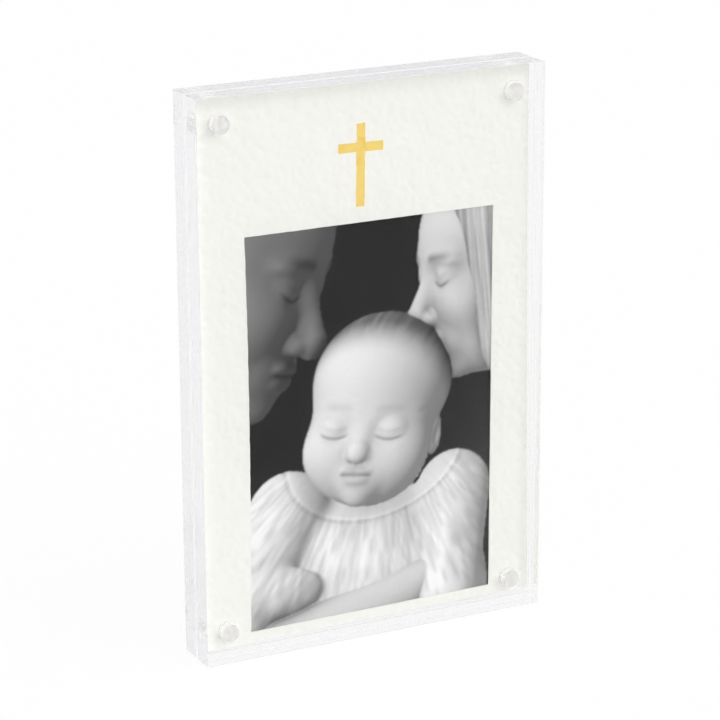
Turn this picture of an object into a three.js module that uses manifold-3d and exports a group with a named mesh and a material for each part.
// Magnetic acrylic photo frame: two clear plates that hold a paper mat and a print between them.
// Millimetres, +Z up, front towards -Y, origin at the bottom centre of the block.

import * as THREE from 'three';
import { mergeVertices } from 'three/addons/utils/BufferGeometryUtils.js';
import Module from 'manifold-3d';

const wasm = await Module();
wasm.setup();

// Block: 5 1/4 x 8 x 3/4 in
const BLOCK_WIDTH = 133.35;
const BLOCK_HEIGHT = 203.2;
const FRONT_PLATE_THICKNESS = 9;
const REAR_PLATE_THICKNESS = 9;
const EDGE_BEVEL = 0.2; // polished break on every edge of both plates

// Magnets: 1/4 x 3/16 in discs in blind bores, one facing another in each corner
const MAGNET_DIAMETER = 6.35;
const MAGNET_LENGTH = 4.76;
const MAGNET_EDGE_RADIUS = 0.3;
const MAGNET_SIDE_INSET = 10.1; // from the block's side edge to the magnet's axis
const MAGNET_END_INSET = 10.3; // from the block's top or bottom edge to the magnet's axis
const BORE_CLEARANCE = 0.12; // glue line round the magnet
const BORE_END_CLEARANCE = 0.15; // glue film between the magnet and the bore's floor
const MAGNET_RECESS = 0.03; // how far the magnet stops short of the plate's inner face

// Mat: handmade paper with a cut window, a little smaller than the block
const MAT_LEFT_MARGIN = 1.4;
const MAT_RIGHT_MARGIN = 2.5;
const MAT_TOP_MARGIN = 1.3;
const MAT_BOTTOM_MARGIN = 4.3;
const MAT_THICKNESS = 0.56;
const WINDOW_WIDTH = 96;
const WINDOW_HEIGHT = 144.2;
const WINDOW_RISE = 3.75; // from the mat's bottom edge up to the window
const WINDOW_OFFSET = 1.65; // the window is cut a little right of the mat's centre

// Gold foil cross on the mat
const CROSS_HEIGHT = 29.4;
const CROSS_WIDTH = 17.2;
const CROSS_BAR = 3.3;
const CROSS_ARM_DROP = 8.3; // from the cross's top down to the middle of its arms
const CROSS_RISE = 5.6; // from the window's top up to the foot of the cross
const CROSS_OFFSET = -3.9; // from the window's centre line
const FOIL_THICKNESS = 0.05;

// Print: 4 x 6 in photo paper, centred behind the window
const PRINT_WIDTH = 101.6;
const PRINT_HEIGHT = 152.4;
const PRINT_THICKNESS = 0.23;

// Air on each free face of the sheets
const SHEET_CLEARANCE = 0.07;

// Faceting
const ROUND_SEGMENTS = 32;
const EDGE_SEGMENTS = 3;
const CUT_OVERRUN = 1; // how far a bore's cutter stands out of the plate

// Depths, from the front face to the back
const sheetStack = FOIL_THICKNESS + MAT_THICKNESS + PRINT_THICKNESS + 3 * SHEET_CLEARANCE;
const blockDepth = FRONT_PLATE_THICKNESS + sheetStack + REAR_PLATE_THICKNESS;
const frontFaceY = -blockDepth / 2;
const frontPlateInnerY = frontFaceY + FRONT_PLATE_THICKNESS;
const matFrontY = frontPlateInnerY + SHEET_CLEARANCE + FOIL_THICKNESS;
const matBackY = matFrontY + MAT_THICKNESS;
const printFrontY = matBackY + SHEET_CLEARANCE;
const rearPlateInnerY = printFrontY + PRINT_THICKNESS + SHEET_CLEARANCE;

// Sheets, seen from the front
const matWidth = BLOCK_WIDTH - MAT_LEFT_MARGIN - MAT_RIGHT_MARGIN;
const matHeight = BLOCK_HEIGHT - MAT_TOP_MARGIN - MAT_BOTTOM_MARGIN;
const matMiddleX = (MAT_LEFT_MARGIN - MAT_RIGHT_MARGIN) / 2;
const matBottomZ = MAT_BOTTOM_MARGIN;
const windowMiddleX = matMiddleX + WINDOW_OFFSET;
const windowBottomZ = matBottomZ + WINDOW_RISE;
const windowTopZ = windowBottomZ + WINDOW_HEIGHT;

const boreRadius = MAGNET_DIAMETER / 2 + BORE_CLEARANCE;
const boreDepth = MAGNET_LENGTH + BORE_END_CLEARANCE + MAGNET_RECESS;

const corners = [
  { name: 'top_left', side: -1, end: 1 },
  { name: 'top_right', side: 1, end: 1 },
  { name: 'bottom_left', side: -1, end: -1 },
  { name: 'bottom_right', side: 1, end: -1 },
].map(({ name, side, end }) => ({
  name,
  x: side * (BLOCK_WIDTH / 2 - MAGNET_SIDE_INSET),
  z: BLOCK_HEIGHT / 2 + end * (BLOCK_HEIGHT / 2 - MAGNET_END_INSET),
}));

const materials = {
  acrylic: () => new THREE.MeshStandardMaterial({
    color: '#f2f6f4', roughness: 0.03, metalness: 0, transparent: true, opacity: 0.3,
  }),
  nickel: () => new THREE.MeshStandardMaterial({ color: '#dcdcd8', roughness: 0.25, metalness: 1 }),
  handmadePaper: () => new THREE.MeshStandardMaterial({ color: '#fafbf6', roughness: 0.95, metalness: 0 }),
  goldFoil: () => new THREE.MeshStandardMaterial({ color: '#edca62', roughness: 0.35, metalness: 1 }),
  photoPaper: () => new THREE.MeshStandardMaterial({ color: '#6a6a6a', roughness: 0.3, metalness: 0 }),
};

// A closed geometry as a manifold-3d solid, welded on position alone.
function toSolid(geometry) {
  const bare = geometry.clone();
  bare.deleteAttribute('normal');
  bare.deleteAttribute('uv');
  const welded = mergeVertices(bare);
  return new wasm.Manifold(new wasm.Mesh({
    numProp: 3,
    vertProperties: welded.attributes.position.array,
    triVerts: new Uint32Array(welded.index.array),
  }));
}

// A manifold-3d solid back as a three.js geometry.
function toGeometry(solid) {
  const { vertProperties, triVerts } = solid.getMesh();
  const geometry = new THREE.BufferGeometry();
  geometry.setAttribute('position', new THREE.BufferAttribute(vertProperties, 3));
  geometry.setIndex(new THREE.BufferAttribute(triVerts, 1));
  geometry.computeVertexNormals();
  return geometry;
}

function meshOf(name, geometry, material) {
  const mesh = new THREE.Mesh(geometry, material);
  mesh.name = name;
  return mesh;
}

// An outline drawn in x and z, given a thickness from y = 0 back to y = thickness.
function slab(shape, thickness, bevel = 0) {
  const geometry = new THREE.ExtrudeGeometry(shape, {
    depth: thickness - 2 * bevel,
    steps: 1,
    bevelEnabled: bevel > 0,
    bevelThickness: bevel,
    bevelSize: bevel,
    bevelOffset: -bevel,
    bevelSegments: 1,
  });
  geometry.rotateX(Math.PI / 2);
  geometry.translate(0, thickness - bevel, 0);
  return geometry;
}

// A rectangle standing on z = bottom, centred on x = middle, with its corners cut off.
function rectangle(width, height, middle = 0, bottom = 0, cut = 0) {
  const left = middle - width / 2;
  const right = middle + width / 2;
  const top = bottom + height;
  const points = cut > 0
    ? [
      [left + cut, bottom], [right - cut, bottom], [right, bottom + cut], [right, top - cut],
      [right - cut, top], [left + cut, top], [left, top - cut], [left, bottom + cut],
    ]
    : [[left, bottom], [right, bottom], [right, top], [left, top]];
  return new THREE.Shape(points.map(([x, z]) => new THREE.Vector2(x, z)));
}

// A clear plate with a blind bore in each corner, opening in the face at boreMouthY and sunk towards boreDirection.
function plateGeometry(thickness, boreMouthY, boreDirection) {
  let solid = toSolid(slab(rectangle(BLOCK_WIDTH, BLOCK_HEIGHT, 0, 0, EDGE_BEVEL), thickness, EDGE_BEVEL));
  for (const corner of corners) {
    const cutterLength = boreDepth + CUT_OVERRUN;
    const cutter = new THREE.CylinderGeometry(boreRadius, boreRadius, cutterLength, ROUND_SEGMENTS);
    cutter.translate(corner.x, boreMouthY + boreDirection * (boreDepth - cutterLength / 2), corner.z);
    solid = solid.subtract(toSolid(cutter));
  }
  return toGeometry(solid);
}

function frontPlate() {
  const geometry = plateGeometry(FRONT_PLATE_THICKNESS, FRONT_PLATE_THICKNESS, -1);
  const mesh = meshOf('front_plate', geometry, materials.acrylic());
  mesh.position.y = frontFaceY;
  return mesh;
}

function rearPlate() {
  const mesh = meshOf('rear_plate', plateGeometry(REAR_PLATE_THICKNESS, 0, 1), materials.acrylic());
  mesh.position.y = rearPlateInnerY;
  return mesh;
}

// A disc along y from 0 to its length, with rounded rims.
function magnetGeometry() {
  const radius = MAGNET_DIAMETER / 2;
  const flat = radius - MAGNET_EDGE_RADIUS;
  const profile = [new THREE.Vector2(0, 0)];
  for (let step = 0; step <= EDGE_SEGMENTS; step += 1) {
    const angle = (step / EDGE_SEGMENTS) * Math.PI / 2;
    profile.push(new THREE.Vector2(
      flat + MAGNET_EDGE_RADIUS * Math.sin(angle),
      MAGNET_EDGE_RADIUS * (1 - Math.cos(angle)),
    ));
  }
  for (let step = EDGE_SEGMENTS; step >= 0; step -= 1) {
    const angle = (step / EDGE_SEGMENTS) * Math.PI / 2;
    profile.push(new THREE.Vector2(
      flat + MAGNET_EDGE_RADIUS * Math.sin(angle),
      MAGNET_LENGTH - MAGNET_EDGE_RADIUS * (1 - Math.cos(angle)),
    ));
  }
  profile.push(new THREE.Vector2(0, MAGNET_LENGTH));
  return new THREE.LatheGeometry(profile, ROUND_SEGMENTS);
}

// Four magnets in a row of corners, their nearer end at startY.
function magnets(plateName, startY) {
  return corners.map((corner) => {
    const mesh = meshOf(`${plateName}_magnet_${corner.name}`, magnetGeometry(), materials.nickel());
    mesh.position.set(corner.x, startY, corner.z);
    return mesh;
  });
}

function matSheet() {
  const shape = rectangle(matWidth, matHeight, matMiddleX, matBottomZ);
  shape.holes.push(rectangle(WINDOW_WIDTH, WINDOW_HEIGHT, windowMiddleX, windowBottomZ));
  const mesh = meshOf('mat_sheet', slab(shape, MAT_THICKNESS), materials.handmadePaper());
  mesh.position.y = matFrontY;
  return mesh;
}

function goldCross() {
  const foot = windowTopZ + CROSS_RISE;
  const top = foot + CROSS_HEIGHT;
  const armMiddle = top - CROSS_ARM_DROP;
  const middle = windowMiddleX + CROSS_OFFSET;
  const bar = CROSS_BAR / 2;
  const arm = CROSS_WIDTH / 2;
  const points = [
    [-bar, foot], [bar, foot], [bar, armMiddle - bar], [arm, armMiddle - bar],
    [arm, armMiddle + bar], [bar, armMiddle + bar], [bar, top], [-bar, top],
    [-bar, armMiddle + bar], [-arm, armMiddle + bar], [-arm, armMiddle - bar], [-bar, armMiddle - bar],
  ];
  const shape = new THREE.Shape(points.map(([x, z]) => new THREE.Vector2(middle + x, z)));
  const mesh = meshOf('gold_cross', slab(shape, FOIL_THICKNESS), materials.goldFoil());
  mesh.position.y = matFrontY - FOIL_THICKNESS;
  return mesh;
}

function photoPrint() {
  const geometry = new THREE.BoxGeometry(PRINT_WIDTH, PRINT_THICKNESS, PRINT_HEIGHT);
  const mesh = meshOf('photo_print', geometry, materials.photoPaper());
  mesh.position.set(windowMiddleX, printFrontY + PRINT_THICKNESS / 2, windowBottomZ + WINDOW_HEIGHT / 2);
  return mesh;
}

const frame = new THREE.Group();
frame.add(
  frontPlate(),
  ...magnets('front', frontPlateInnerY - MAGNET_RECESS - MAGNET_LENGTH),
  matSheet(),
  goldCross(),
  photoPrint(),
  rearPlate(),
  ...magnets('rear', rearPlateInnerY + MAGNET_RECESS),
);

export default frame;
